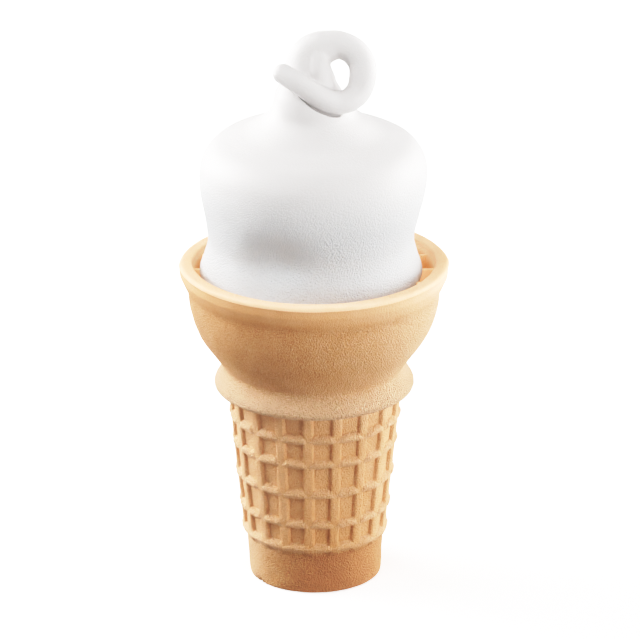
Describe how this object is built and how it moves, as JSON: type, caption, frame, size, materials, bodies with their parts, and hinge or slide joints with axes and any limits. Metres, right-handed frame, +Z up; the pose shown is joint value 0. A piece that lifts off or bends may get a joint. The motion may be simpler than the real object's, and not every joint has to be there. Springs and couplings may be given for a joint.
{
  "type": "soft serve cone",
  "caption": "Soft serve ice cream with a looped curl on top, seated in a flat-bottomed baked wafer cone with a waffle-grid stem.",
  "frame": {"origin": "centre of the flat underside of the wafer cone, on the cone's axis", "axes": "+Z up along the cone's axis; -Y towards the side that the curl's tail lies on; +X towards the side that the curl loops over"},
  "size_m": [0.07, 0.07, 0.1491],
  "materials": {
    "wafer": "baked wafer, matt and finely grained",
    "ice_cream": "cold soft serve, satin and finely iced"
  },
  "bodies": {
    "root": {"wafer_cone": "wafer", "soft_serve": "ice_cream"}
  },
  "joints": []
}
